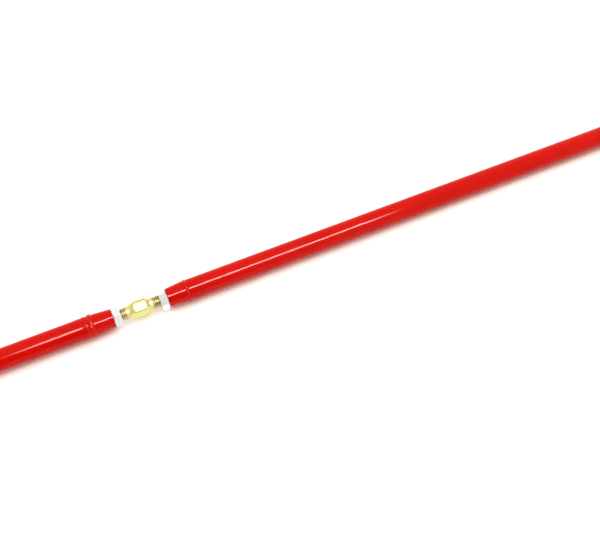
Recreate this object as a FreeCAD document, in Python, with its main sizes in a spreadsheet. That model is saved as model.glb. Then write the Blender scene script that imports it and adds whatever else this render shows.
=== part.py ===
import FreeCAD, Part
import os
import Sketcher

# Adjustable gear shift linkage rod. The rod lies along +X, from the ball of the short end at the
# origin to the ball of the long end. Both bolt bores point along +Z. All sizes are in millimetres.

DIMENSIONS = {
    # overall layout, from ball centre to ball centre
    "short_reach": 180.0,
    "long_reach": 420.0,
    # tubes and their welded end plugs
    "tube_diameter": 14.0,
    "tube_wall": 1.5,
    "plug_face_diameter": 12.0,
    "plug_face_chamfer": 0.5,
    "plug_taper_length": 12.0,
    "spigot_length": 15.0,
    "spigot_gap": 0.05,
    "groove_depth": 1.4,
    "wide_weld_half_width": 3.9,
    "wide_weld_crown": 0.5,
    "narrow_weld_half_width": 1.3,
    "narrow_weld_crown": 0.25,
    # M8 threads, drawn as plain cylinders with running clearance
    "thread_diameter": 7.9,
    "tapped_bore_diameter": 8.0,
    "bore_chamfer": 0.5,
    "thread_end_chamfer": 0.8,
    # turnbuckle stud, measured from its middle
    "stud_half_length": 38.5,
    "stud_hex_flats": 11.0,
    "stud_hex_half_length": 3.8,
    "stud_cone_end": 7.0,
    "stud_neck_end": 8.9,
    "stud_neck_diameter": 7.8,
    "stud_hex_angle": 17.8,
    "stud_to_plug_face": 17.9,
    # thin hexagon nuts, all four alike
    "nut_flats": 13.0,
    "nut_height": 5.0,
    "nut_face_gap": 0.05,
    "nut_face_ring": 12.3,
    "nut_bore_chamfer": 0.4,
    "right_thread_nut_angle": 2.8,
    "left_thread_nut_angle": 32.8,
    "jam_nut_angle": 10.0,
    # rod ends, measured from the ball centre
    "eye_diameter": 24.0,
    "eye_width": 9.0,
    "eye_bore_diameter": 19.0,
    "eye_chamfer": 0.5,
    "eye_bore_chamfer": 0.25,
    "web_root_reach": 7.7,
    "web_root_half_width": 9.2,
    "web_width": 7.9,
    "shank_start": 17.0,
    "shank_end": 42.0,
    "ball_to_plug_face": 26.0,
    "race_diameter": 18.94,
    "race_width": 8.4,
    "race_seat_diameter": 15.98,
    "ball_diameter": 15.88,
    "ball_width": 12.0,
    "ball_bore_diameter": 8.0,
}
TANGENT_30 = 0.57735
CORNER_PER_FLATS = 1.154701
SPARE = 1.0


class Size:
    """A length with its value and the sheet expression that it comes from."""

    def __init__(self, value, text):
        self.value = value
        self.text = text

    def combine(self, sign, other, value):
        text = other.text if isinstance(other, Size) else repr(other)
        return Size(value, f"({self.text} {sign} {text})")

    def __add__(self, other):
        return self.combine("+", other, self.value + number(other))

    def __sub__(self, other):
        return self.combine("-", other, self.value - number(other))

    def __mul__(self, other):
        return self.combine("*", other, self.value * number(other))

    def __truediv__(self, other):
        return self.combine("/", other, self.value / number(other))

    def __neg__(self):
        return self * -1.0


def number(size):
    return size.value if isinstance(size, Size) else float(size)


def dim(name):
    return Size(DIMENSIONS[name], f"Dimensions.{name}")


def make_sheet(doc):
    sheet = doc.addObject("Spreadsheet::Sheet", "Dimensions")
    for row, (name, value) in enumerate(DIMENSIONS.items(), 1):
        sheet.set(f"A{row}", name)
        sheet.set(f"B{row}", str(value))
        sheet.setAlias(f"B{row}", name)
    doc.recompute()
    return sheet


def bind(obj, field, size):
    if isinstance(size, Size):
        obj.setExpression(field, size.text)
    else:
        setattr(obj, field, size)


# ---- sketches and features -------------------------------------------------------------------


def plane(body, role):
    return next(f for f in body.Origin.OriginFeatures if f.Role == role)


def new_sketch(body, name, role):
    sketch = body.newObject("Sketcher::SketchObject", name)
    sketch.AttachmentSupport = [(plane(body, role), "")]
    sketch.MapMode = "FlatFace"
    return sketch


def pin_coordinate(sketch, kind, edge, point, size):
    """Holds one coordinate of an edge's point at a size, or on the axis where it is zero."""
    if number(size) == 0:
        axis = -2 if kind == "DistanceX" else -1
        sketch.addConstraint(Sketcher.Constraint("PointOnObject", edge, point, axis))
        return
    index = sketch.addConstraint(Sketcher.Constraint(kind, -1, 1, edge, point, number(size)))
    if isinstance(size, Size):
        sketch.setExpression(f"Constraints[{index}]", size.text)


def add_loop(sketch, points, arc_radius=None):
    """A closed outline through points. With arc_radius, its first edge is an arc that bows up."""
    corners = [FreeCAD.Vector(number(x), number(y), 0) for x, y in points]
    edges = []
    for i, start in enumerate(corners):
        end = corners[(i + 1) % len(corners)]
        line = Part.LineSegment(start, end)
        if i == 0 and arc_radius:
            line = bowed_arc(start, end, number(arc_radius))
        edges.append(sketch.addGeometry(line, False))
    # an arc runs anticlockwise, so the arc from left to right over the top starts at its right end
    first = {edges[0]: (2, 1) if arc_radius else (1, 2)}
    for i, edge in enumerate(edges):
        following = edges[(i + 1) % len(edges)]
        end_point = first.get(edge, (1, 2))[1]
        start_point = first.get(following, (1, 2))[0]
        sketch.addConstraint(
            Sketcher.Constraint("Coincident", edge, end_point, following, start_point)
        )
    for edge, (x, y) in zip(edges, points):
        start_point = first.get(edge, (1, 2))[0]
        pin_coordinate(sketch, "DistanceX", edge, start_point, x)
        pin_coordinate(sketch, "DistanceY", edge, start_point, y)
    if arc_radius:
        index = sketch.addConstraint(Sketcher.Constraint("Radius", edges[0], number(arc_radius)))
        sketch.setExpression(f"Constraints[{index}]", arc_radius.text)


def bowed_arc(left, right, radius):
    half = (right.x - left.x) / 2
    rise = radius - (radius**2 - half**2) ** 0.5
    top = FreeCAD.Vector((left.x + right.x) / 2, left.y + rise, 0)
    return Part.Arc(right, top, left)


def add_circle(sketch, radius):
    circle = Part.Circle(FreeCAD.Vector(0, 0, 0), FreeCAD.Vector(0, 0, 1), number(radius))
    edge = sketch.addGeometry(circle, False)
    sketch.addConstraint(Sketcher.Constraint("Coincident", edge, 3, -1, 1))
    index = sketch.addConstraint(Sketcher.Constraint("Radius", edge, number(radius)))
    sketch.setExpression(f"Constraints[{index}]", radius.text)


def new_body(doc, label):
    body = doc.addObject("PartDesign::Body", label)
    body.Label = label
    return body


def turn(body, kind, name, loops, arc_radius=None):
    """A Revolution or Groove about the local X axis."""
    sketch = new_sketch(body, name + "_profile", "XY_Plane")
    for loop in loops:
        add_loop(sketch, loop, arc_radius)
    feature = body.newObject("PartDesign::" + kind, name)
    feature.Profile = sketch
    feature.ReferenceAxis = (sketch, ["H_Axis"])
    feature.Angle = 360.0
    return feature


def pad(body, name, sketch, length, both_ways):
    feature = body.newObject("PartDesign::Pad", name)
    feature.Profile = sketch
    feature.Midplane = both_ways
    bind(feature, "Length", length)
    return feature


def hexagon(flats):
    """Corners of a hexagon with two corners on the sketch's own horizontal axis."""
    corner = flats * (CORNER_PER_FLATS / 2)
    half = flats / 2
    return [
        (corner, 0),
        (corner / 2, half),
        (-(corner / 2), half),
        (-corner, 0),
        (-(corner / 2), -half),
        (corner / 2, -half),
    ]


# ---- pieces, each along its own local X axis ---------------------------------------------------


def weld_position(half_width):
    """Distance from a plug's outer face to the middle of its weld, where the tube starts."""
    return dim("plug_taper_length") + half_width


def tapered_plug(doc, label, weld_half_width):
    """Threaded plug: outer face at x = 0, taper, weld groove, then a spigot inside the tube."""
    tube_radius = dim("tube_diameter") / 2
    face_radius = dim("plug_face_diameter") / 2
    bore_radius = dim("tapped_bore_diameter") / 2
    spigot_radius = tube_radius - dim("tube_wall") - dim("spigot_gap")
    groove_x = weld_position(weld_half_width)
    end_x = groove_x + dim("spigot_length")
    body = new_body(doc, label)
    outline = [
        (0, bore_radius + dim("bore_chamfer")),
        (0, face_radius - dim("plug_face_chamfer")),
        (dim("plug_face_chamfer"), face_radius),
        (dim("plug_taper_length"), tube_radius),
        (groove_x, tube_radius - dim("groove_depth")),
        (groove_x, spigot_radius),
        (end_x, spigot_radius),
        (end_x, bore_radius),
        (dim("bore_chamfer"), bore_radius),
    ]
    turn(body, "Revolution", label + "_turned", [outline])
    return body


def tube(doc, label, length, first_weld_half_width, last_weld_half_width):
    """Round tube from x = 0, with both outer edges bevelled for the welds."""
    outer = dim("tube_diameter") / 2
    inner = outer - dim("tube_wall")
    land = outer - dim("groove_depth")
    body = new_body(doc, label)
    outline = [
        (0, inner),
        (0, land),
        (first_weld_half_width, outer),
        (length - last_weld_half_width, outer),
        (length, land),
        (length, inner),
    ]
    turn(body, "Revolution", label + "_turned", [outline])
    return body


def weld(doc, label, half_width, crown):
    """Ring that fills the groove, from its left edge at x = 0, with a crowned top."""
    surface = dim("tube_diameter") / 2
    radius = (half_width * half_width + crown * crown) / (crown * 2)
    body = new_body(doc, label)
    outline = [
        (0, surface),
        (half_width * 2, surface),
        (half_width, surface - dim("groove_depth")),
    ]
    turn(body, "Revolution", label + "_turned", [outline], radius)
    return body


def nut(doc, label):
    """Thin hexagon nut from x = 0 to its height, chamfered on both faces and in the bore."""
    height = dim("nut_height")
    ring = dim("nut_face_ring") / 2
    outside = dim("nut_flats") / 2 * CORNER_PER_FLATS + SPARE
    slope = (outside - ring) * TANGENT_30
    bore = dim("tapped_bore_diameter") / 2
    bevel = dim("nut_bore_chamfer")
    body = new_body(doc, label)
    sketch = new_sketch(body, label + "_hexagon", "YZ_Plane")
    add_loop(sketch, hexagon(dim("nut_flats")))
    pad(body, label + "_blank", sketch, height, False)
    near = [(0, ring), (0, outside), (slope, outside)]
    far = [(height, ring), (height, outside), (height - slope, outside)]
    turn(body, "Groove", label + "_corners", [near, far])
    hole = [
        (0, 0),
        (0, bore + bevel),
        (bevel, bore),
        (height - bevel, bore),
        (height, bore + bevel),
        (height, 0),
    ]
    turn(body, "Groove", label + "_bore", [hole])
    return body


def stud(doc, label):
    """Double-ended stud about x = 0: hexagon with coned ends, necks and two threads."""
    flats = dim("stud_hex_flats")
    corner = flats / 2 * CORNER_PER_FLATS
    cone_end = dim("stud_cone_end")
    neck_end = dim("stud_neck_end")
    neck = dim("stud_neck_diameter") / 2
    thread = dim("thread_diameter") / 2
    tip = dim("thread_end_chamfer")
    end = dim("stud_half_length")
    hex_end = dim("stud_hex_half_length")
    body = new_body(doc, label)
    sketch = new_sketch(body, label + "_hexagon", "YZ_Plane")
    add_loop(sketch, hexagon(flats))
    pad(body, label + "_hex", sketch, cone_end * 2, True)
    cone = [
        (hex_end, corner),
        (cone_end, neck),
        (cone_end + SPARE, neck),
        (cone_end + SPARE, corner + SPARE),
        (hex_end, corner + SPARE),
    ]
    mirrored = [(-x, y) for x, y in cone]
    turn(body, "Groove", label + "_cones", [cone, mirrored])
    half = [
        (neck_end, neck),
        (neck_end, thread),
        (end - tip, thread),
        (end, thread - tip),
        (end, 0),
    ]
    outline = [(-x, y) for x, y in reversed(half)] + half
    turn(body, "Revolution", label + "_shaft", [outline])
    return body


def rod_end_housing(doc, label):
    """Eye about the origin with its bore along Z, and a threaded shank along +X."""
    thread = dim("thread_diameter") / 2
    tip = dim("thread_end_chamfer")
    start = dim("shank_start")
    end = dim("shank_end")
    eye_radius = dim("eye_diameter") / 2
    bore_radius = dim("eye_bore_diameter") / 2
    web_root = dim("web_root_reach")
    web_half = dim("web_root_half_width")
    body = new_body(doc, label)
    eye = new_sketch(body, label + "_eye_circle", "XY_Plane")
    add_circle(eye, eye_radius)
    pad(body, label + "_eye", eye, dim("eye_width"), True)
    chamfer_rims(doc, body, label + "_outer_rims", eye_radius, "eye_chamfer")
    web = new_sketch(body, label + "_web_outline", "XY_Plane")
    add_loop(web, [(web_root, -web_half), (start, -thread), (start, thread), (web_root, web_half)])
    pad(body, label + "_web", web, dim("web_width"), True)
    shank = [
        (web_root + dim("eye_chamfer"), 0),
        (web_root + dim("eye_chamfer"), thread),
        (end - tip, thread),
        (end, thread - tip),
        (end, 0),
    ]
    turn(body, "Revolution", label + "_shank", [shank])
    bore = new_sketch(body, label + "_bore_circle", "XY_Plane")
    add_circle(bore, bore_radius)
    pocket = body.newObject("PartDesign::Pocket", label + "_bore")
    pocket.Profile = bore
    pocket.Type = "ThroughAll"
    pocket.Midplane = True
    chamfer_rims(doc, body, label + "_inner_rims", bore_radius, "eye_bore_chamfer")
    return body


def chamfer_rims(doc, body, name, radius, size_name):
    """Chamfers the two circular rims of the eye that have this radius."""
    doc.recompute()
    base = body.Tip
    level = DIMENSIONS["eye_width"] / 2
    names = []
    for i, edge in enumerate(base.Shape.Edges, 1):
        round_edge = isinstance(edge.Curve, Part.Circle)
        on_face = abs(abs(edge.CenterOfMass.z) - level) < 1e-4
        if round_edge and on_face and abs(edge.Curve.Radius - number(radius)) < 1e-4:
            names.append(f"Edge{i}")
    feature = body.newObject("PartDesign::Chamfer", name)
    feature.Base = (base, names)
    bind(feature, "Size", dim(size_name))


def cylinder(doc, name, radius, height):
    """Upright Part cylinder centred on the origin."""
    shape = doc.addObject("Part::Cylinder", name)
    bind(shape, "Radius", radius)
    bind(shape, "Height", height)
    bind(shape, "Placement.Base.z", -(height / 2))
    return shape


def sphere(doc, name, radius):
    shape = doc.addObject("Part::Sphere", name)
    bind(shape, "Radius", radius)
    return shape


def boolean(doc, kind, name, base, tool):
    result = doc.addObject("Part::" + kind, name)
    result.Label = name
    result.Base = base
    result.Tool = tool
    return result


def race(doc, label):
    """Ring with a spherical seat, its axis along Z."""
    ring = cylinder(doc, label + "_ring", dim("race_diameter") / 2, dim("race_width"))
    seat = sphere(doc, label + "_seat", dim("race_seat_diameter") / 2)
    return boolean(doc, "Cut", label, ring, seat)


def ball(doc, label):
    """Sphere with two flat faces and a bolt bore along Z."""
    whole = sphere(doc, label + "_sphere", dim("ball_diameter") / 2)
    slab = cylinder(doc, label + "_slab", dim("ball_diameter"), dim("ball_width"))
    flattened = boolean(doc, "Common", label + "_flattened", whole, slab)
    bore = cylinder(doc, label + "_bore", dim("ball_bore_diameter") / 2, dim("ball_width") * 2)
    return boolean(doc, "Cut", label, flattened, bore)


# ---- assembly ----------------------------------------------------------------------------------


def place(piece, x, roll=None, reversed_x=False):
    """Moves a piece along the rod, rolled about X or turned to face the other way."""
    if reversed_x:
        piece.Placement.Rotation = FreeCAD.Rotation(FreeCAD.Vector(0, 0, 1), 180)
    if roll is not None:
        piece.Placement.Rotation = FreeCAD.Rotation(FreeCAD.Vector(1, 0, 0), 0.001)
        piece.setExpression("Placement.Rotation.Angle", roll.text)
    bind_x(piece, x)
    return piece


def bind_x(piece, x):
    if isinstance(x, Size):
        piece.setExpression("Placement.Base.x", x.text)


def build(doc):
    middle = dim("short_reach")
    total = dim("short_reach") + dim("long_reach")
    wide = dim("wide_weld_half_width")
    narrow = dim("narrow_weld_half_width")
    high = dim("wide_weld_crown")
    low = dim("narrow_weld_crown")
    short_inner_face = middle - dim("stud_to_plug_face")
    long_inner_face = middle + dim("stud_to_plug_face")
    short_outer_face = dim("ball_to_plug_face")
    long_outer_face = total - dim("ball_to_plug_face")
    wide_weld_x = weld_position(wide)
    weld_x = weld_position(narrow)
    nut_reach = dim("nut_height") + dim("nut_face_gap")
    pieces = [
        place(tapered_plug(doc, "short_inner_plug", wide), short_inner_face, reversed_x=True),
        place(tapered_plug(doc, "short_outer_plug", narrow), short_outer_face),
        place(tapered_plug(doc, "long_inner_plug", narrow), long_inner_face),
        place(tapered_plug(doc, "long_outer_plug", narrow), long_outer_face, reversed_x=True),
        place(weld(doc, "short_inner_weld", wide, high), short_inner_face - wide_weld_x - wide),
        place(weld(doc, "short_outer_weld", narrow, low), short_outer_face + weld_x - narrow),
        place(weld(doc, "long_inner_weld", narrow, low), long_inner_face + weld_x - narrow),
        place(weld(doc, "long_outer_weld", narrow, low), long_outer_face - weld_x - narrow),
    ]
    short_start = short_outer_face + weld_x
    short_length = short_inner_face - wide_weld_x - short_start
    long_start = long_inner_face + weld_x
    long_length = long_outer_face - weld_x - long_start
    pieces += [
        place(tube(doc, "short_tube", short_length, narrow, wide), short_start),
        place(tube(doc, "long_tube", long_length, narrow, narrow), long_start),
        place(stud(doc, "adjuster_stud"), middle, roll=dim("stud_hex_angle")),
    ]
    nuts = (
        ("right_thread_lock_nut", short_inner_face + dim("nut_face_gap"), "right_thread_nut_angle"),
        ("left_thread_lock_nut", long_inner_face - nut_reach, "left_thread_nut_angle"),
        ("short_end_jam_nut", short_outer_face - nut_reach, "jam_nut_angle"),
        ("long_end_jam_nut", long_outer_face + dim("nut_face_gap"), "jam_nut_angle"),
    )
    for label, x, angle in nuts:
        pieces.append(place(nut(doc, label), x, roll=dim(angle)))
    for end, x, reversed_x in (("short", 0, False), ("long", total, True)):
        pieces.append(place(rod_end_housing(doc, end + "_end_housing"), x, None, reversed_x))
        pieces.append(place(race(doc, end + "_end_race"), x))
        pieces.append(place(ball(doc, end + "_end_ball"), x))
    doc.recompute()
    return pieces


def check(doc, pieces):
    for obj in doc.Objects:
        bad = {"Invalid", "Error"} & set(obj.State)
        if bad:
            raise RuntimeError(f"{obj.Name}: {obj.State}")
    for piece in pieces:
        if piece.Shape.isNull() or not piece.Shape.isValid() or not piece.Shape.Solids:
            raise RuntimeError(f"{piece.Label}: bad shape")


def main():
    doc = FreeCAD.newDocument("shift_linkage_rod")
    make_sheet(doc)
    pieces = build(doc)
    check(doc, pieces)
    os.makedirs("parts", exist_ok=True)
    for piece in pieces:
        piece.Shape.exportStep(f"parts/{piece.Label}.step")
        box = piece.Shape.BoundBox
        volume = piece.Shape.Volume
        print(f"{piece.Label:24s} {volume:9.1f} mm3  x {box.XMin:7.2f} to {box.XMax:7.2f}")


main()
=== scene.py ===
"""Looks for the adjustable linkage rod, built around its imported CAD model.

Blender's units are metres, in the CAD's frame: +X runs along the rod and +Z is up.
The shapes below are worked out in millimetres and scaled once, in make_piece.
"""
import math

import bmesh
import bpy
import numpy as np
from mathutils import Matrix, Vector


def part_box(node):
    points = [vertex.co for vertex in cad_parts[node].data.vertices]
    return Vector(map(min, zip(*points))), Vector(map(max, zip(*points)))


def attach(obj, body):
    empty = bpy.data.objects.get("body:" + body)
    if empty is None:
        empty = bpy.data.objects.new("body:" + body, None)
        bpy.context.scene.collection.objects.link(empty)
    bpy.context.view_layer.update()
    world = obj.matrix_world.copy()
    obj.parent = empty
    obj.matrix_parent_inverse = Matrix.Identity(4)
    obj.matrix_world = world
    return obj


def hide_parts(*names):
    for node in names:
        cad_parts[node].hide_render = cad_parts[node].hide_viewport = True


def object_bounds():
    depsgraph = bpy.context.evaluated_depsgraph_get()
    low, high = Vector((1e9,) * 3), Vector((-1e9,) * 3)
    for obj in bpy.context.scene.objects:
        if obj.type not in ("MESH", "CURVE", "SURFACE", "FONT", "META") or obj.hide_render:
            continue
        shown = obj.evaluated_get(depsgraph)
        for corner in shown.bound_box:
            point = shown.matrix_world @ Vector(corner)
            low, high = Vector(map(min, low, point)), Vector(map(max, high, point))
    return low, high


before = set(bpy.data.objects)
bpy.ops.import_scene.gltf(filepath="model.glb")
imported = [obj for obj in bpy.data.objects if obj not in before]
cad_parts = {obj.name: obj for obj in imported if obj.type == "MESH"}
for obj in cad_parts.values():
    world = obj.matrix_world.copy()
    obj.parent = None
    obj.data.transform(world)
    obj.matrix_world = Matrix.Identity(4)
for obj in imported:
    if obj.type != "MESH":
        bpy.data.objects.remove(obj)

MM = 0.001
cad_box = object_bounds()

# sizes of the real parts, in millimetres
TUBE_RADIUS = 7.0
TUBE_BORE_RADIUS = 5.5
FACE_RADIUS = 6.0
SPIGOT_LENGTH = 15.0
GROOVE_RADIUS = 5.6
TAPPED_RADIUS = 4.0
FLARE = 0.12
PITCH = 1.25
CREST_RADIUS = 3.95
ROOT_RADIUS = 3.4
SHANK_RADIUS = 3.6


# ---- measures --------------------------------------------------------------------------------


def span(node, axis=0):
    """A CAD node's lowest and highest coordinate along an axis, in millimetres."""
    low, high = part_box(node)
    return low[axis] / MM, high[axis] / MM


def middle(node, axis=0):
    return sum(span(node, axis)) / 2


def smoothstep(t):
    t = np.clip(t, 0, 1)
    return t * t * (3 - 2 * t)


def hill(t, centre, width):
    return np.exp(-(((t - centre) / width) ** 2) / 2)


# ---- mesh building ---------------------------------------------------------------------------


def grid_faces(rows, columns, closed=True):
    """Quads over a grid whose columns wrap round; closed also joins the last row to the first."""
    index = np.arange(rows * columns).reshape(rows, columns)
    here = index if closed else index[:-1]
    above = np.roll(index, -1, 0)[: len(here)]
    quads = np.stack([here, np.roll(here, -1, 1), np.roll(above, -1, 1), above], -1)
    return quads.reshape(-1, 4).tolist()


def shell(rings, closed=True, caps=True):
    """A surface through rings of points; an open one gets a flat cap at each end."""
    rows, columns, _ = rings.shape
    faces = grid_faces(rows, columns, closed)
    if not closed and caps:
        faces += [list(range(columns)), list(range((rows - 1) * columns, rows * columns))]
    return rings.reshape(-1, 3), faces, np.zeros(rows * columns)


def join(*shells):
    points, faces, marks, offset = [], [], [], 0
    for shell_points, shell_faces, shell_marks in shells:
        points.append(shell_points)
        marks.append(shell_marks)
        faces += [[i + offset for i in face] for face in shell_faces]
        offset += len(shell_points)
    return np.concatenate(points), faces, np.concatenate(marks)


def make_piece(node, body, parts, material, sharp_deg=38):
    """One shown piece for one CAD node, on the node's body, with its marks as an attribute."""
    points, faces, marks = parts
    mesh = bpy.data.meshes.new(node + "_shown")
    mesh.from_pydata((points * MM).tolist(), [], faces)
    mesh.attributes.new("mark", "FLOAT", "POINT").data.foreach_set("value", marks)
    work = bmesh.new()
    work.from_mesh(mesh)
    bmesh.ops.remove_doubles(work, verts=work.verts, dist=1e-6)
    bmesh.ops.dissolve_degenerate(work, edges=work.edges, dist=1e-7)
    bmesh.ops.recalc_face_normals(work, faces=work.faces)
    work.to_mesh(mesh)
    work.free()
    mesh.shade_smooth()
    mesh.set_sharp_from_angle(angle=math.radians(sharp_deg))
    mesh.materials.append(material)
    piece = bpy.data.objects.new(node + "_shown", mesh)
    bpy.context.scene.collection.objects.link(piece)
    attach(piece, body)
    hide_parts(node)
    return piece


def circle(count):
    return np.arange(count) * 2 * math.pi / count


def about_x(along, radius, angles):
    """Points round the rod: along and radius are (rows, 1) or (rows, columns)."""
    along, radius, angles = np.broadcast_arrays(along, radius, angles)
    return np.stack([along, radius * np.cos(angles), radius * np.sin(angles)], -1)


def about_z(height, radius, angles, centre_x):
    height, radius, angles = np.broadcast_arrays(height, radius, angles)
    return np.stack([centre_x + radius * np.cos(angles), radius * np.sin(angles), height], -1)


def rounded(corners, steps=5):
    """A closed outline with rounded corners; each corner is (x, y, fillet radius)."""
    points = []
    for i, (x, y, fillet) in enumerate(corners):
        here = np.array([x, y])
        if fillet == 0:
            points.append(here)
            continue
        arrive = here - np.array(corners[i - 1][:2])
        leave = np.array(corners[(i + 1) % len(corners)][:2]) - here
        arrive, leave = arrive / np.linalg.norm(arrive), leave / np.linalg.norm(leave)
        turn = math.atan2(arrive[0] * leave[1] - arrive[1] * leave[0], arrive @ leave)
        reach = fillet * math.tan(abs(turn) / 2)
        start = here - arrive * reach
        inward = np.array([-arrive[1], arrive[0]]) * math.copysign(fillet, turn)
        points.append(start - arrive * fillet * 0.5)
        for k in range(steps + 1):
            c, s = math.cos(turn * k / steps), math.sin(turn * k / steps)
            (x, y), hub = -inward, start + inward
            points.append(hub + np.array([c * x - s * y, s * x + c * y]))
        points.append(here + leave * (reach + fillet * 0.5))
    return np.array(points)


# ---- the painted rods ------------------------------------------------------------------------


class RodEnd:
    """One end of a painted tube: its plug and weld, measured inward from the plug's face."""

    def __init__(self, side, place):
        self.tube = f"{side}_tube"
        self.plug = f"{side}_{place}_plug"
        self.weld = f"{side}_{place}_weld"
        low, high = span(self.plug)
        self.inward = 1 if middle(self.tube) > middle(self.plug) else -1
        self.face = low if self.inward > 0 else high
        self.wide = self.weld == "short_inner_weld"
        weld_low, weld_high = span(self.weld)
        self.weld_start = abs((weld_low if self.inward > 0 else weld_high) - self.face)
        self.weld_end = abs((weld_high if self.inward > 0 else weld_low) - self.face)
        self.weld_middle = (self.weld_start + self.weld_end) / 2
        self.crown = span(self.weld, 2)[1] - TUBE_RADIUS
        self.flare = FLARE if self.wide else 0.0

    def x(self, depth):
        return self.face + self.inward * depth


def plug_parts(end):
    """A tapered plug with its tapped bore, and its spigot inside the tube."""
    spigot = TUBE_BORE_RADIUS - 0.05
    tip = end.weld_middle + SPIGOT_LENGTH
    outline = rounded([
        (0, TAPPED_RADIUS + 0.5, 0), (0, FACE_RADIUS, 0.4), (end.weld_start, TUBE_RADIUS, 0),
        (end.weld_start, GROOVE_RADIUS, 0), (end.weld_middle, GROOVE_RADIUS, 0),
        (end.weld_middle, spigot, 0), (tip, spigot, 0.3), (tip, TAPPED_RADIUS, 0),
        (0.5, TAPPED_RADIUS, 0),
    ])
    return shell(about_x(end.x(outline[:, :1]), outline[:, 1:], circle(160)))


def wide_bead(t, angle, crown):
    """Two uneven ridges with a valley between them, and a crease at the tube."""
    u = t + 0.025 * np.sin(2 * angle + 1.2) + 0.015 * np.sin(5 * angle + 0.4)
    ripple = 1 + 0.10 * np.sin(27 * angle + 5 * (u - 0.3) ** 2) + 0.12 * np.sin(3 * angle + 2.0)
    high = 1.1 * crown * np.exp(-abs((u - 0.22) / 0.175) ** 3) * ripple
    low = 0.5 * crown * hill(u, 0.66, 0.070) * (2 - ripple)
    crease = 0.18 * hill(u, 0.93, 0.030) + 0.10 * hill(u, 0.46, 0.040)
    return (high + low - crease) * (1 - (2 * t - 1) ** 10)


def narrow_bead(t, angle, crown):
    """A small even bead with ripples and a crease along each side."""
    ripple = 1 + 0.14 * np.sin(23 * angle + 4 * (t - 0.5) ** 2) + 0.10 * np.sin(2 * angle + 0.7)
    u = t + 0.04 * np.sin(4 * angle + 0.5)
    bead = 1.5 * crown * np.exp(-abs((u - 0.55) / 0.24) ** 3) * ripple
    creases = 0.12 * hill(t, 0.12, 0.06) + 0.12 * hill(t, 0.93, 0.04)
    return (bead - creases) * (1 - (2 * t - 1) ** 12)


def weld_parts(end):
    """The ring of weld metal in the groove, with its bead proud of the tube."""
    rows = 57 if end.wide else 25
    t = np.linspace(0, 1, rows)[:, None]
    angle = circle(216)
    bead = wide_bead if end.wide else narrow_bead
    outer = TUBE_RADIUS + end.flare * t + bead(t, angle + end.face, end.crown)
    depth = end.weld_start + (end.weld_end - end.weld_start) * t
    depths = np.concatenate([depth, depth[::-1][::8]])
    radii = np.concatenate([outer, np.full((len(depth[::8]), len(angle)), GROOVE_RADIUS)])
    points, faces, _ = shell(about_x(end.x(depths), radii, angle))
    marks = np.concatenate([(outer - TUBE_RADIUS).ravel(), np.zeros(radii[rows:].size)])
    return points, faces, marks


def tube_parts(ends):
    """The hollow tube, from one weld's middle to the other's, with any flare at its welds."""
    rows = []
    for end, order in zip(ends, (1, -1)):
        depth = end.weld_end + np.concatenate([np.linspace(0, 7, 15), [20.0]])
        swell = TUBE_RADIUS + end.flare * (1 - smoothstep((depth - end.weld_end) / 6))
        run = [(end.weld_middle + 0.05, GROOVE_RADIUS), (end.weld_end, GROOVE_RADIUS)]
        run = [(end.x(d), r) for d, r in run + list(zip(depth, swell))]
        rows += run[::order]
    first, last = rows[0][0], rows[-1][0]
    rows += [(last, TUBE_BORE_RADIUS), (first, TUBE_BORE_RADIUS)]
    outline = np.array(rows)
    return shell(about_x(outline[:, :1], outline[:, 1:], circle(160)))


def make_rod(side, material):
    ends = sorted([RodEnd(side, "inner"), RodEnd(side, "outer")], key=lambda e: e.face)
    body = f"{side}_rod"
    make_piece(f"{side}_tube", body, tube_parts(ends), material)
    for end in ends:
        make_piece(end.plug, body, plug_parts(end), material)
        make_piece(end.weld, body, weld_parts(end), material)


# ---- threads ---------------------------------------------------------------------------------

# one pitch of the thread form: how far along it, and how high between root and crest
FORM = np.array([(0, 0.92), (0.05, 1), (0.23, 1), (0.28, 0.92),
                 (0.52, 0.06), (0.64, 0), (0.76, 0.06)])


def thread(start, stop, hand, angles, shape):
    """A helical surface from start to stop. shape(x, height) gives the radius, and has to give
    one radius at each end, whatever the height, so that the thread's loose ends close up."""
    count, columns = len(FORM), len(angles)
    rows = np.arange(-count, (math.ceil((stop - start) / PITCH) + 2) * count)
    base = start + PITCH * (rows // count + FORM[rows % count, 0])
    x = base[:, None] + hand * PITCH * (angles - angles[0]) / (2 * math.pi)
    height = np.broadcast_to(FORM[rows % count, 1][:, None], x.shape)
    x = np.clip(x, start, stop)
    index = np.arange(x.size).reshape(x.shape)
    quads = np.stack([index[:-1, :-1], index[:-1, 1:], index[1:, 1:], index[1:, :-1]], -1)
    first = np.arange(len(rows) - 1)
    first = first[(first + hand * count >= 0) & (first + 1 + hand * count < len(rows))]
    across = first + hand * count
    seam = np.stack([index[first, -1], index[across, 0], index[across + 1, 0],
                     index[first + 1, -1]], -1)
    faces = np.concatenate([quads.reshape(-1, 4), seam]).tolist()
    points = about_x(x, shape(x, height), angles).reshape(-1, 3)
    return points, faces, (-0.5 * (1 - height)).ravel()


def outside_thread(tip, neck, neck_radius, tip_length=0.9):
    """The shape of a bolt's thread: chamfered to its root at the tip, run out at the neck."""
    def shape(x, height):
        radius = ROOT_RADIUS + (CREST_RADIUS - ROOT_RADIUS) * height
        chamfer = ROOT_RADIUS - 0.1 + (CREST_RADIUS + 0.1 - ROOT_RADIUS) * abs(x - tip) / tip_length
        run_out = np.clip(1 - abs(x - neck) / PITCH, 0, 1)
        radius = np.minimum(radius, chamfer)
        return radius + (neck_radius - radius) * run_out
    return shape


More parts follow.
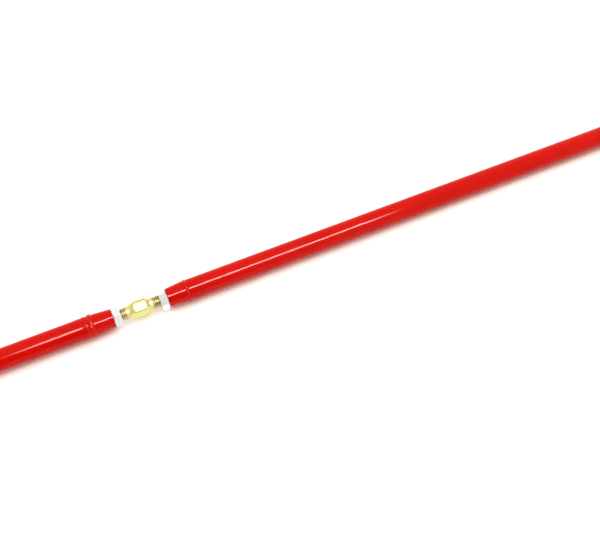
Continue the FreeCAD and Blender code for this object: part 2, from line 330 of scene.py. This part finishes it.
def inside_thread(start, stop, mouth_radius):
    """The shape of a nut's thread, which clears the bolt's and opens to a countersink."""
    def shape(x, height):
        radius = ROOT_RADIUS + 0.06 + (CREST_RADIUS - ROOT_RADIUS) * height
        sink = mouth_radius - np.minimum(abs(x - start), abs(x - stop)) * 1.2
        return np.maximum(radius, sink)
    return shape


def cap(x, radius, angles):
    """A flat round end, with a ring of its own inside the rim."""
    rings = about_x(np.full((2, 1), x), np.array([[radius], [radius * 0.6]]), angles)
    points, faces, marks = shell(rings, closed=False, caps=False)
    count = len(angles)
    return points, faces + [list(range(count, 2 * count))], marks


# ---- hexagons --------------------------------------------------------------------------------


def hexagon_angles(roll_deg, flat_steps=9, corner_steps=6):
    """Angles round a hexagon with a flat facing roll_deg, closer together at its corners."""
    corner = 3.0
    half = list(np.linspace(-30 + corner, 30 - corner, flat_steps + 1))
    half += list(np.linspace(30 - corner, 30 + corner, corner_steps + 1)[1:-1])
    turns = [60 * i + a for i in range(6) for a in half]
    return np.radians(np.array(turns) + roll_deg)


def hexagon_radius(angles, roll_deg, flats, fillet):
    """The distance from the middle to the outline of a hexagon with rounded corners."""
    reach = flats / 2
    off_flat = (np.degrees(angles) - roll_deg + 30) % 60 - 30
    off_corner = np.radians(30 - abs(off_flat))
    centre = (reach - fillet) / math.cos(math.radians(30))
    start = math.degrees(math.atan((reach - fillet) * math.tan(math.radians(30)) / reach))
    flat = reach / np.cos(np.radians(off_flat))
    inside = np.clip(fillet ** 2 - (centre * np.sin(off_corner)) ** 2, 0, None)
    curved = centre * np.cos(off_corner) + np.sqrt(inside)
    return np.where(abs(off_flat) < start, flat, curved)


def corner_marks(angles, roll_deg, width=2.2):
    """One at a hexagon's corners, fading out along its flats over width degrees."""
    off_flat = (np.degrees(angles) - roll_deg + 30) % 60 - 30
    return hill(30 - abs(off_flat), 0, width)


# ---- the turnbuckle stud ---------------------------------------------------------------------

# the cones' and necks' ends are measured from the hexagon's middle, -1 being the short rod's side
STUD_FLATS = 11.0
STUD_ROLL_DEG = 47.8
STUD_HEX_HALF = 3.55
STUD_CONE_END = {-1: 7.5, 1: 6.5}
STUD_NECK_END = {-1: 9.6, 1: 8.1}
STUD_NECK_RADIUS = 3.88
STUD_FILLET = 0.8
STEEPEST_CONE = 1.6
EDGE_BREAK = 0.12


def stud_half(side, angles):
    """Rows (along, radius, mark) from the hexagon's middle to the end of one neck."""
    hex_radius = hexagon_radius(angles, STUD_ROLL_DEG, STUD_FLATS, STUD_FILLET)
    corner, cone_end, neck_end = hex_radius.max(), STUD_CONE_END[side], STUD_NECK_END[side]
    slope = (corner - STUD_NECK_RADIUS) / (cone_end - STUD_HEX_HALF)
    edge = STUD_HEX_HALF + (corner - hex_radius) / max(slope, STEEPEST_CONE)
    slope = (hex_radius - STUD_NECK_RADIUS) / (cone_end - edge)
    rows = [(0.0 * edge, hex_radius, 0.0), (0.5 * edge, hex_radius, 0.0),
            (edge - 2 * EDGE_BREAK, hex_radius, 0.0), (edge - EDGE_BREAK, hex_radius - 0.008, 0.1),
            (edge, hex_radius - 0.05, 0.25)]
    for reach, dip, mark in ((0.7, 0.006, 0.1), (1.5, 0.002, 0.0)):
        drop = EDGE_BREAK * reach
        rows.append((edge + drop, hex_radius - drop * slope - dip, mark))
    for share in (0.3, 0.6, 0.85, 0.95):
        x = edge + (cone_end - edge) * share
        rows.append((x, hex_radius - (x - edge) * slope, 0.0))
    for x, r in ((cone_end + 0.05, STUD_NECK_RADIUS + 0.03), (cone_end + 0.3, STUD_NECK_RADIUS),
                 (neck_end - 0.2, STUD_NECK_RADIUS), (neck_end, STUD_NECK_RADIUS)):
        rows.append((0 * edge + x, 0 * edge + r, 0.0))
    return [(side * x, r, m) for x, r, m in rows]


def stud_middle(middle_x, angles):
    """The hexagon, its two cones and its two necks, as rings along the stud."""
    rows = stud_half(-1, angles)[:0:-1] + stud_half(1, angles)
    hex_radius = rows[len(rows) // 2][1]
    # these corner marks and the edge-break marks above carry a painted dark reflection line in the
    # stud's finish
    corners = corner_marks(angles, STUD_ROLL_DEG, width=4.6)
    along = np.array([x for x, _, _ in rows]) + middle_x
    radius = np.array([r for _, r, _ in rows])
    on_hexagon = radius > hex_radius - 0.02
    marks = np.maximum(np.array([0 * hex_radius + m for _, _, m in rows]), corners * on_hexagon)
    points, faces, _ = shell(about_x(along, radius, angles), closed=False, caps=False)
    return points, faces, marks.ravel()


def stud_parts():
    low, high = span("adjuster_stud")
    centre = (low + high) / 2
    angles = hexagon_angles(STUD_ROLL_DEG)
    parts = [stud_middle(centre, angles)]
    for side, tip in ((-1, low), (1, high)):
        neck = centre + side * STUD_NECK_END[side]
        shape = outside_thread(tip, neck, STUD_NECK_RADIUS)
        parts.append(thread(min(tip, neck), max(tip, neck), -side, angles, shape))
        parts.append(cap(tip, ROOT_RADIUS - 0.1, angles))
    return join(*parts)


# ---- the hexagon nuts ------------------------------------------------------------------------

NUT_FLATS = 13.0
NUT_RING_RADIUS = 6.15
NUT_MOUTH_RADIUS = 4.4
NUT_FILLET = 0.35
NUT_CHAMFER_DEG = 30

# node, body, which way a flat faces in degrees from +Y towards +Z, and the thread's hand
NUTS = (("right_thread_lock_nut", "right_thread_nut", 32.8, 1),
        ("left_thread_lock_nut", "left_thread_nut", 2.8, -1),
        ("short_end_jam_nut", "short_jam_nut", 40.0, 1),
        ("long_end_jam_nut", "long_jam_nut", 40.0, 1))


def nut_parts(node, roll_deg, hand):
    """A thin nut: chamfered hexagon, flat faces, countersunk and threaded bore."""
    low, high = span(node)
    angles = hexagon_angles(roll_deg)
    hex_radius = hexagon_radius(angles, roll_deg, NUT_FLATS, NUT_FILLET)
    chamfer = (hex_radius - NUT_RING_RADIUS) * math.tan(math.radians(NUT_CHAMFER_DEG))
    flat = 0 * hex_radius
    half = [(flat, flat + NUT_MOUTH_RADIUS, 0), (flat, flat + NUT_MOUTH_RADIUS + 0.15, 0),
            (flat, flat + NUT_RING_RADIUS - 0.25, 0),
            (flat + 0.02, flat + NUT_RING_RADIUS - 0.05, 0.6),
            (chamfer * 0.25 + 0.04, NUT_RING_RADIUS + (hex_radius - NUT_RING_RADIUS) * 0.25, 0.2),
            (chamfer * 0.8, NUT_RING_RADIUS + (hex_radius - NUT_RING_RADIUS) * 0.8, 0.2),
            (chamfer + 0.03, hex_radius - 0.035, 1.0), (chamfer + 0.15, hex_radius - 0.004, 0.5),
            (chamfer + 0.35, hex_radius, 0)]
    rows = [(low + x, r, m) for x, r, m in half] + [(high - x, r, m) for x, r, m in half[::-1]]
    along, radius = np.array([x for x, _, _ in rows]), np.array([r for _, r, _ in rows])
    points, faces, _ = shell(about_x(along, radius, angles), closed=False, caps=False)
    on_hexagon = radius > hex_radius - 0.05
    marks = np.maximum(np.array([flat + m for _, _, m in rows]),
                       corner_marks(angles, roll_deg) * on_hexagon)
    bore = thread(low, high, hand, angles, inside_thread(low, high, NUT_MOUTH_RADIUS))
    return join((points, faces, marks.ravel()), bore)


# ---- the spherical rod ends ------------------------------------------------------------------

EYE_RADIUS = 12.0
EYE_HALF_WIDTH = 4.5
EYE_BORE_RADIUS = 9.5
NECK_START = 7.7
NECK_START_HALF = 9.2
NECK_END = 17.0
NECK_END_HALF = 3.95
BLEND = 1.6
SEAT_RADIUS = 7.99
BALL_BORE_RADIUS = 4.0


def rounded_box(u, v, half_u, half_v, fillet):
    """Distance outside a rounded rectangle, negative inside."""
    q_u, q_v = abs(u) - half_u + fillet, abs(v) - half_v + fillet
    outside = np.hypot(np.maximum(q_u, 0), np.maximum(q_v, 0))
    return outside + np.minimum(np.maximum(q_u, q_v), 0) - fillet


def forging_distance(x, y, z):
    """Distance to the eye and its neck, blended as a forging is, with the eye's bore cut out."""
    around = np.hypot(x, y)
    ring_middle = (EYE_RADIUS + EYE_BORE_RADIUS) / 2 - 1
    ring = rounded_box(around - ring_middle, z, EYE_RADIUS - ring_middle, EYE_HALF_WIDTH, 0.6)
    t = np.clip((x - NECK_START) / (NECK_END - NECK_START), 0, 1)
    half = NECK_START_HALF + (NECK_END_HALF - NECK_START_HALF) * t
    fillet = 1.6 + (NECK_END_HALF - 0.02 - 1.6) * smoothstep(t)
    neck = rounded_box(y, z, half, NECK_END_HALF, fillet) * 0.85
    neck = np.maximum(neck, np.maximum(x - NECK_END, NECK_START - x))
    h = np.clip(0.5 + 0.5 * (neck - ring) / BLEND, 0, 1)
    both = neck + (ring - neck) * h - BLEND * h * (1 - h)
    bore = EYE_BORE_RADIUS - around
    mouth = (EYE_BORE_RADIUS + 0.3 - around + abs(z) - EYE_HALF_WIDTH) * 0.707
    return np.maximum(both, np.maximum(bore, mouth))


def forging_parts(centre_x, toward):
    """The eye and neck, found along rays from the middle of the eye's wall."""
    fine = np.concatenate([np.linspace(-20, 20, 41), np.linspace(20, 50, 21)[1:],
                           np.linspace(50, 310, 105)[1:], np.linspace(310, 340, 21)[1:-1]])
    around = np.radians(fine)[:, None]
    corner = math.degrees(math.atan2(EYE_HALF_WIDTH, (EYE_RADIUS - EYE_BORE_RADIUS) / 2))
    quarter = np.concatenate([np.linspace(0, corner - 9, 12), np.linspace(corner - 8, corner + 5, 12),
                              np.linspace(corner + 9, 180 - corner - 5, 4),
                              180 - corner + np.array([-3, -1.5, -0.6, 0, 0.6, 1.5, 3, 8, 20, 40])])
    tilt = np.radians(np.concatenate([quarter, [180], -quarter[:0:-1]]))
    start = (EYE_RADIUS + EYE_BORE_RADIUS) / 2
    near, far = np.zeros((len(fine), len(tilt))), np.full((len(fine), len(tilt)), 9.5)

    def at(reach):
        out = start + reach * np.cos(tilt)
        return out * np.cos(around), out * np.sin(around), reach * np.sin(tilt) + 0 * around

    for _ in range(40):
        half = (near + far) / 2
        inside = forging_distance(*at(half)) < 0
        near, far = np.where(inside, half, near), np.where(inside, far, half)
    x, y, z = at(near)
    points = np.stack([centre_x + toward * x, y, z], -1)
    return shell(points)


def shank_parts(centre_x, tip, toward):
    """The rod end's threaded shank, which starts inside the neck."""
    angles = circle(72)
    neck = centre_x + toward * (NECK_END + 0.6)
    root = centre_x + toward * (NECK_END - 0.8)
    shape = outside_thread(tip, neck, SHANK_RADIUS)
    body = about_x(np.array([[root], [neck]]), np.full((2, 1), SHANK_RADIUS), angles)
    points, faces, marks = shell(body, closed=False, caps=False)
    faces.append(list(range(len(angles))))
    return join((points, faces, marks), cap(tip, ROOT_RADIUS - 0.1, angles),
                thread(min(tip, neck), max(tip, neck), 1, angles, shape))


def arc_rows(radius, turn, count):
    """Rows (height, radius from the bore's axis) over a sphere, from -turn to turn."""
    return [(radius * math.sin(a), radius * math.cos(a)) for a in np.linspace(-turn, turn, count)]


def race_parts(node, centre_x):
    """The bronze insert: a spherical seat, with a staking groove in each face."""
    half, outer = span(node, 2)[1], span(node, 1)[1]
    lip = math.sqrt(SEAT_RADIUS ** 2 - half ** 2)
    face = [(half, lip + 0.08), (half, 8.15), (half - 0.22, 8.35), (half - 0.22, 8.55),
            (half, 8.75), (half, outer - 0.3), (half - 0.08, outer - 0.08), (half - 0.3, outer)]
    turn = math.asin(half / SEAT_RADIUS)
    seat = arc_rows(SEAT_RADIUS, turn, 33)
    rows = np.array(seat + face + [(-z, r) for z, r in face[::-1]])
    return shell(about_z(rows[:, :1], rows[:, 1:], circle(144), centre_x))


def ball_parts(node, centre_x):
    """The ground ball: flat ends, broken edges and a straight bore."""
    half, radius, bore = span(node, 2)[1], span(node, 1)[1], BALL_BORE_RADIUS
    rim = math.sqrt(radius ** 2 - half ** 2)
    turn = math.asin((half - 0.15) / radius)
    sphere = arc_rows(radius, turn, 61)
    mouth = [(half - 0.05, rim - 0.03), (half, rim - 0.15), (half, bore + 0.42),
             (half - 0.05, bore + 0.33), (half - 0.35, bore + 0.03), (half - 0.45, bore)]
    rows = np.array(sphere + mouth + [(-z, r) for z, r in mouth[::-1]])
    return shell(about_z(rows[:, :1], rows[:, 1:], circle(144), centre_x))


def make_rod_end(side, finishes):
    housing = f"{side}_end_housing"
    low, high = span(housing)
    centre_x = middle(f"{side}_end_ball")
    toward = 1 if high - centre_x > centre_x - low else -1
    tip = high if toward > 0 else low
    parts = join(forging_parts(centre_x, toward), shank_parts(centre_x, tip, toward))
    make_piece(housing, f"{side}_rod_end", parts, finishes["rod_end_zinc"])
    race, ball = f"{side}_end_race", f"{side}_end_ball"
    make_piece(race, f"{side}_race", race_parts(race, centre_x),
               finishes["race_brass"])
    make_piece(ball, f"{side}_ball", ball_parts(ball, centre_x),
               finishes["ball_chrome"])


# ---- materials -------------------------------------------------------------------------------


class Finish:
    """A procedural material under construction, in the piece's own coordinates."""

    def __init__(self, name, **settings):
        self.material = bpy.data.materials.new(name)
        self.material.use_nodes = True
        self.tree = self.material.node_tree
        self.shader = self.tree.nodes["Principled BSDF"]
        for socket, value in settings.items():
            self.shader.inputs[socket.replace("_", " ")].default_value = value
        self.place = self.node("ShaderNodeTexCoord").outputs["Object"]

    def node(self, kind, links=None, **settings):
        """A node with its settings, and links or plain values for its inputs."""
        made = self.tree.nodes.new(kind)
        for field, value in settings.items():
            setattr(made, field, value)
        for socket, value in (links or {}).items():
            if isinstance(value, bpy.types.NodeSocket):
                self.tree.links.new(value, made.inputs[socket])
            else:
                made.inputs[socket].default_value = value
        return made

    def link(self, value, socket):
        self.tree.links.new(value, self.shader.inputs[socket])

    def stretched(self, scale):
        """The piece's coordinates scaled per axis, for marks longer one way than another."""
        return self.node("ShaderNodeMapping", {"Vector": self.place, "Scale": scale}).outputs[0]

    def noise(self, size_mm, detail=2.0, roughness=0.5, vector=None, seed=(0, 0, 0)):
        """Noise from 0 to 1 whose patches are about size_mm across."""
        moved = self.node("ShaderNodeVectorMath", {0: vector or self.place, 1: seed})
        return self.node("ShaderNodeTexNoise", {
            "Vector": moved.outputs[0], "Scale": 1 / (size_mm * MM), "Detail": detail,
            "Roughness": roughness}).outputs["Fac"]

    def spread(self, value, low, high, to_low=0.0, to_high=1.0):
        return self.node("ShaderNodeMapRange", {
            "Value": value, "From Min": low, "From Max": high, "To Min": to_low,
            "To Max": to_high}).outputs["Result"]

    def math(self, operation, a, b):
        return self.node("ShaderNodeMath", {0: a, 1: b}, operation=operation).outputs[0]

    def mix(self, factor, a, b, blend="MIX"):
        made = self.node("ShaderNodeMix", data_type="RGBA", blend_type=blend)
        for socket, value in zip((0, 6, 7), (factor, a, b)):
            if isinstance(value, bpy.types.NodeSocket):
                self.tree.links.new(value, made.inputs[socket])
            else:
                made.inputs[socket].default_value = value
        return made.outputs[2]

    def mark(self, low, high):
        """The piece's own marks, spread over 0 to 1: above zero on edges, below it in roots."""
        value = self.node("ShaderNodeAttribute", attribute_name="mark").outputs["Fac"]
        return self.spread(value, low, high)

    def bump(self, height, depth_mm, under=None):
        links = {"Height": height, "Distance": depth_mm * MM, "Strength": 1.0}
        if under is not None:
            links["Normal"] = under
        return self.node("ShaderNodeBump", links).outputs["Normal"]


def colour(red, green, blue):
    return (red, green, blue, 1.0)


def red_enamel():
    """Gloss paint with a slight orange peel, thinner and brighter over raised weld."""
    finish = Finish("red_enamel", Coat_Weight=1.0, Coat_Roughness=0.05, Coat_IOR=1.22,
                    Specular_IOR_Level=0.0)
    drift = finish.noise(28, 3.0)
    base = finish.mix(finish.spread(drift, 0.35, 0.65), colour(0.395, 0.0020, 0.0003),
                      colour(0.43, 0.0030, 0.0005))
    raised = finish.mark(0.14, 0.30)
    base = finish.mix(raised, base, colour(0.43, 0.0040, 0.001))
    crease = finish.mark(-0.02, -0.14)
    finish.link(finish.mix(crease, base, colour(0.33, 0.001, 0.0004)), "Base Color")
    cloud = finish.noise(6, 4.0, seed=(0.3, 0.1, 0.7))
    finish.link(finish.spread(cloud, 0.3, 0.7, 0.30, 0.42), "Roughness")
    peel = finish.bump(finish.noise(2.6, 1.5, 0.4), 0.006)
    peel = finish.bump(finish.noise(0.5, 2.0), 0.0006, peel)
    spatter = finish.math("MULTIPLY", finish.noise(0.45, 2.0, seed=(0.8, 0.4, 0.6)), raised)
    peel = finish.bump(spatter, 0.12, peel)
    finish.link(peel, "Normal")
    finish.link(peel, "Coat Normal")
    return finish.material


def yellow_zinc(centre):
    """Yellow passivated zinc: gold with drifts of green and rose, a painted rose reflection on top of
    the necks, and painted dark lines along the hexagon's edges.
    """
    finish = Finish("yellow_zinc", Metallic=1.0, Coat_Weight=0.6, Coat_IOR=1.35,
                    Coat_Roughness=0.22)
    gold = finish.mix(finish.spread(finish.noise(2.6, 2.0), 0.38, 0.62),
                      colour(0.60, 0.60, 0.26), colour(0.61, 0.68, 0.28))
    green = finish.spread(finish.noise(4.2, 1.5, seed=(0.4, 0.2, 0.1)), 0.50, 0.62)
    rose = finish.spread(finish.noise(4.6, 1.5, seed=(0.1, 0.5, 0.3)), 0.56, 0.66)
    base = finish.mix(green, gold, colour(0.53, 0.72, 0.28))
    base = finish.mix(rose, base, colour(0.72, 0.55, 0.30))
    at = finish.node("ShaderNodeSeparateXYZ", {0: finish.place}).outputs
    beside = finish.math("ABSOLUTE", finish.math("SUBTRACT", at["X"], centre.x), 0.0)
    on_neck = finish.math("MULTIPLY", finish.spread(beside, 5.6 * MM, 7.0 * MM),
                          finish.spread(beside, 10.0 * MM, 9.0 * MM))
    # painted reflection: a rose tint on the tops of the necks, standing in for the iridescent sheen
    # they reflect there
    painted_rose_top = finish.spread(at["Z"], 1.5 * MM, 3.2 * MM, 0.0, 0.85)
    base = finish.mix(finish.math("MULTIPLY", on_neck, painted_rose_top), base, colour(0.90, 0.60, 0.32))
    # painted dark reflection: the hexagon's corners and edge breaks are darkened into lines, standing
    # in for the dim surroundings that their rounded edges reflect
    base = finish.mix(finish.mark(0.1, 1.1), base, colour(0.28, 0.25, 0.10))
    on_thread = finish.spread(beside, 8.3 * MM, 9.3 * MM)
    base = finish.mix(on_thread, base, colour(0.55, 0.46, 0.22))
    roots = finish.mark(-0.04, -0.46)
    finish.link(finish.mix(roots, base, colour(0.33, 0.28, 0.13)), "Base Color")
    cloud = finish.spread(finish.noise(1.1, 3.0, seed=(0.6, 0.6, 0.2)), 0.3, 0.7, 0.34, 0.42)
    finish.link(finish.math("ADD", cloud, finish.spread(on_neck, 0.0, 1.0, 0.0, 0.2)), "Roughness")
    turned = finish.noise(0.35, 1.0, vector=finish.stretched((1, 0.04, 0.04)))
    marks = finish.bump(turned, 0.0012)
    finish.link(finish.bump(finish.noise(0.16, 2.0), 0.0008, marks), "Normal")
    return finish.material


def bright_zinc():
    """Blue-white zinc on the nuts: fine and milky, a little rubbed at the corners."""
    finish = Finish("bright_zinc", Metallic=0.75, Specular_IOR_Level=0.2)
    cloud = finish.noise(2.2, 3.0)
    base = finish.mix(finish.spread(cloud, 0.35, 0.65), colour(0.69, 0.79, 0.87),
                      colour(0.77, 0.85, 0.92))
    base = finish.mix(finish.mark(0.2, 1.0), base, colour(0.80, 0.87, 0.93))
    finish.link(finish.mix(finish.mark(-0.05, -0.45), base, colour(0.25, 0.26, 0.27)), "Base Color")
    finish.link(finish.spread(finish.noise(0.9, 3.0, seed=(0.2, 0.9, 0.4)), 0.3, 0.7, 0.30, 0.46),
                "Roughness")
    brushed = finish.bump(finish.noise(0.22, 1.5, vector=finish.stretched((0.15, 1, 1))), 0.0012)
    finish.link(finish.bump(finish.noise(0.12, 2.0), 0.0008, brushed), "Normal")
    return finish.material


def rod_end_zinc():
    """Zinc plate over a forging: softly pitted, with darker drifts and thread roots."""
    finish = Finish("rod_end_zinc", Metallic=1.0)
    base = finish.mix(finish.spread(finish.noise(5.5, 3.0), 0.35, 0.65), colour(0.60, 0.61, 0.62),
                      colour(0.72, 0.72, 0.70))
    stain = finish.spread(finish.noise(2.3, 4.0, 0.65, seed=(0.7, 0.2, 0.2)), 0.58, 0.74)
    base = finish.mix(stain, base, colour(0.48, 0.46, 0.42))
    finish.link(finish.mix(finish.mark(-0.04, -0.42), base, colour(0.16, 0.15, 0.14)), "Base Color")
    finish.link(finish.spread(finish.noise(1.3, 4.0), 0.3, 0.7, 0.28, 0.46), "Roughness")
    pits = finish.bump(finish.noise(1.4, 3.0, 0.55), 0.02)
    finish.link(finish.bump(finish.noise(0.2, 2.0), 0.002, pits), "Normal")
    return finish.material


def race_bronze():
    """Satin bronze, turned, with browner patches."""
    finish = Finish("race_bronze", Metallic=1.0)
    base = finish.mix(finish.spread(finish.noise(2.5, 3.0), 0.35, 0.65), colour(0.62, 0.42, 0.17),
                      colour(0.70, 0.52, 0.25))
    stain = finish.spread(finish.noise(1.2, 4.0, 0.6, seed=(0.3, 0.3, 0.8)), 0.60, 0.75)
    finish.link(finish.mix(stain, base, colour(0.36, 0.22, 0.10)), "Base Color")
    finish.link(finish.spread(finish.noise(0.8, 3.0), 0.3, 0.7, 0.26, 0.40), "Roughness")
    finish.link(finish.bump(finish.noise(0.25, 2.0), 0.002), "Normal")
    return finish.material


def ball_steel():
    """Ground bearing steel with a trace of oil and hairline scratches."""
    finish = Finish("ball_steel", Metallic=1.0)
    base = finish.mix(finish.spread(finish.noise(3.5, 2.0), 0.4, 0.6), colour(0.66, 0.67, 0.68),
                      colour(0.74, 0.74, 0.74))
    finish.link(base, "Base Color")
    finish.link(finish.spread(finish.noise(2.0, 3.0, seed=(0.5, 0.1, 0.9)), 0.35, 0.7, 0.07, 0.16),
                "Roughness")
    hair = finish.noise(0.18, 1.0, vector=finish.stretched((1, 1, 0.05)))
    finish.link(finish.bump(hair, 0.0006), "Normal")
    return finish.material


def paper_white(centre):
    """The floor: pale seamless paper, which glows where it lies beyond the key's reach."""
    finish = Finish("paper_white", Roughness=0.9, Specular_IOR_Level=0.1,
                    Emission_Color=colour(0.12, 0.36, 0.46))
    offset = finish.node("ShaderNodeVectorMath", {0: finish.place, 1: centre}, operation="SUBTRACT")
    away = finish.node("ShaderNodeVectorMath", {0: offset.outputs[0]}, operation="LENGTH")
    finish.link(finish.spread(away.outputs["Value"], GLOW_START, GLOW_FULL), "Emission Strength")
    tone = finish.mix(finish.spread(finish.noise(40, 2.0), 0.3, 0.7), colour(0.90, 0.90, 0.89),
                      colour(0.92, 0.92, 0.92))
    finish.link(tone, "Base Color")
    return finish.material


# ---- the studio ------------------------------------------------------------------------------

# the lights, in metres, from a point beside the stud
LIGHTS_ALONG = 0.19
LIGHT_HEIGHT = 1.0
KEY_BACK = 0.08
KEY_SIZE = (2.4, 0.8)
KEY_RADIANCE = 1.4
KEY_THROUGH_RADIANCE = 1.0
STRIP_FORWARD = 0.38
STRIP_SIZE = (0.84, 0.25)
STRIP_RADIANCE = 44.0
STUD_STRIP_RADIANCE = 24.0
STRIP_FADE = 0.12

# the surroundings that diffuse light and reflections see, and where reflections see them dim
WORLD_DIFFUSE = (1.05, 0.78, 0.68)
WORLD_BRIGHT = (1.0, 0.95, 0.78)
WORLD_DIM = (0.06, 0.04, 0.03)
DIM_TOWARDS = (-0.35, -0.85, 0.40)
DIM_COSINES = (0.72, 0.95)

FLOOR_HALF = 4.0
GLOW_START = 0.6
GLOW_FULL = 1.2

# the camera, in millimetres and degrees
CAMERA_FROM_STUD = (-21.42, -291.41, 453.24)
CAMERA_DOWN_DEG = 56
CAMERA_ROUND_DEG = 24.5


def make_floor(height, centre):
    half = FLOOR_HALF
    mesh = bpy.data.meshes.new("floor")
    mesh.from_pydata([(-half, -half, height), (half, -half, height), (half, half, height),
                      (-half, half, height)], [], [(0, 1, 2, 3)])
    mesh.materials.append(paper_white(centre))
    floor = bpy.data.objects.new("floor", mesh)
    bpy.context.scene.collection.objects.link(floor)


def area_light(name, place, aim, size, radiance, seen_by):
    """A rectangular light of an even radiance, from place towards aim."""
    lamp = bpy.data.lights.new(name, "AREA")
    lamp.shape = "RECTANGLE"
    lamp.size, lamp.size_y = size
    lamp.energy = radiance * math.pi * size[0] * size[1]
    light = bpy.data.objects.new(name, lamp)
    bpy.context.scene.collection.objects.link(light)
    light.location = place
    away = (Vector(place) - Vector(aim)).normalized()
    up = away.cross(Vector((1, 0, 0))).normalized()
    light.rotation_euler = Matrix((up.cross(away), up, away)).transposed().to_euler()
    light.visible_diffuse = seen_by == "diffuse"
    light.visible_glossy = seen_by == "glossy"
    return light


def link_group(light, role, objects, state):
    """Restricts a light's receivers or blockers to these objects, or with EXCLUDE to the rest."""
    group = bpy.data.collections.new(light.name + "_" + role)
    setattr(light.light_linking, role + "_collection", group)
    for item in objects:
        group.objects.link(item)
    for entry in group.collection_objects:
        entry.light_linking.link_state = state


def soften_ends(light, share):
    """Fades a light out towards both ends of its length, as a softbox does."""
    light.data.use_nodes = True
    tree = light.data.node_tree
    emission = tree.nodes["Emission"]
    place = tree.nodes.new("ShaderNodeNewGeometry").outputs["Parametric"]
    split = tree.nodes.new("ShaderNodeSeparateXYZ")
    tree.links.new(place, split.inputs[0])
    fade = []
    for start, stop in ((0.0, share), (1.0, 1.0 - share)):
        ramp = tree.nodes.new("ShaderNodeMapRange")
        ramp.interpolation_type = "SMOOTHSTEP"
        ramp.inputs["From Min"].default_value = start
        ramp.inputs["From Max"].default_value = stop
        tree.links.new(split.outputs["X"], ramp.inputs["Value"])
        fade.append(ramp.outputs["Result"])
    both = tree.nodes.new("ShaderNodeMath")
    both.operation = "MULTIPLY"
    for i, value in enumerate(fade):
        tree.links.new(value, both.inputs[i])
    tree.links.new(both.outputs[0], emission.inputs["Strength"])


def make_world():
    """Warm even surroundings for diffuse light; reflections see them dimmer in one direction,
    and the camera sees plain white."""
    world = bpy.data.worlds.new("studio")
    bpy.context.scene.world = world
    world.use_nodes = True
    tree = world.node_tree

    def pick(factor, first, second):
        made = tree.nodes.new("ShaderNodeMix")
        made.data_type = "RGBA"
        tree.links.new(factor, made.inputs[0])
        for socket, value in ((6, first), (7, second)):
            if isinstance(value, bpy.types.NodeSocket):
                tree.links.new(value, made.inputs[socket])
            else:
                made.inputs[socket].default_value = value
        return made.outputs[2]

    toward = tree.nodes.new("ShaderNodeVectorMath")
    toward.operation = "DOT_PRODUCT"
    tree.links.new(tree.nodes.new("ShaderNodeTexCoord").outputs["Generated"], toward.inputs[0])
    toward.inputs[1].default_value = Vector(DIM_TOWARDS).normalized()
    level = tree.nodes.new("ShaderNodeMapRange")
    level.interpolation_type = "SMOOTHSTEP"
    for end, cosine in zip(("From Min", "From Max"), DIM_COSINES):
        level.inputs[end].default_value = cosine
    tree.links.new(toward.outputs["Value"], level.inputs["Value"])
    path = tree.nodes.new("ShaderNodeLightPath")
    shown = pick(level.outputs["Result"], colour(*WORLD_BRIGHT), colour(*WORLD_DIM))
    shown = pick(path.outputs["Is Diffuse Ray"], shown, colour(*WORLD_DIFFUSE))
    shown = pick(path.outputs["Is Camera Ray"], shown, colour(1, 1, 1))
    tree.links.new(shown, tree.nodes["Background"].inputs["Color"])


def make_lights(centre, stud, nuts):
    """A wide soft key overhead, and the narrow strip whose reflection runs along the rod. The
    stud gets a weaker strip of its own, and the nuts none, as their plating would glare. A part
    of the key passes the stud and nuts, which lightens their shadow."""
    aim = centre + Vector((LIGHTS_ALONG, 0, 0))
    back = Vector((0, KEY_BACK, 0))
    for name, radiance in (("key", KEY_RADIANCE), ("key_through", KEY_THROUGH_RADIANCE)):
        key = area_light(name, aim + back + Vector((0, 0, LIGHT_HEIGHT)), aim + back, KEY_SIZE,
                         radiance, "diffuse")
    link_group(key, "blocker", [stud] + nuts, "EXCLUDE")
    front = aim + Vector((0, -STRIP_FORWARD, LIGHT_HEIGHT))
    for name, radiance, objects, state in (
            ("strip", STRIP_RADIANCE, [stud] + nuts, "EXCLUDE"),
            ("stud_strip", STUD_STRIP_RADIANCE, [stud], "INCLUDE")):
        strip = area_light(name, front, aim, STRIP_SIZE, radiance, "glossy")
        soften_ends(strip, STRIP_FADE)
        link_group(strip, "receiver", objects, state)


def make_camera(centre):
    """The camera looks down on the rod from the -Y side, turned from +Y towards +X."""
    lens = bpy.data.cameras.new("camera")
    lens.lens, lens.sensor_width = 50.0, 36.0
    lens.clip_start, lens.clip_end = 0.01, 50.0
    camera = bpy.data.objects.new("camera", lens)
    bpy.context.scene.collection.objects.link(camera)
    camera.location = centre + Vector(CAMERA_FROM_STUD) * MM
    camera.rotation_euler = (math.radians(90 - CAMERA_DOWN_DEG), 0, -math.radians(CAMERA_ROUND_DEG))
    bpy.context.scene.camera = camera


def set_colours():
    settings = bpy.context.scene.view_settings
    settings.view_transform = "Standard"
    settings.look = "None"
    settings.exposure, settings.gamma = 0.0, 1.0


# ---- assembly --------------------------------------------------------------------------------


def main():
    stud_centre = sum(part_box("adjuster_stud"), Vector()) / 2
    make_camera(stud_centre)
    make_floor(cad_box[0].z, sum(cad_box, Vector()) / 2)
    make_world()
    set_colours()
    finishes = {"red_paint": red_enamel(), "yellow_zinc": yellow_zinc(stud_centre),
                "bright_zinc": bright_zinc(), "rod_end_zinc": rod_end_zinc(),
                "race_brass": race_bronze(), "ball_chrome": ball_steel()}
    for side in ("short", "long"):
        make_rod(side, finishes["red_paint"])
        make_rod_end(side, finishes)
    stud = make_piece("adjuster_stud", "adjuster", stud_parts(),
                      finishes["yellow_zinc"])
    nuts = [make_piece(node, body, nut_parts(node, roll_deg, hand),
                       finishes["bright_zinc"]) for node, body, roll_deg, hand in NUTS]
    make_lights(stud_centre, stud, nuts)


main()
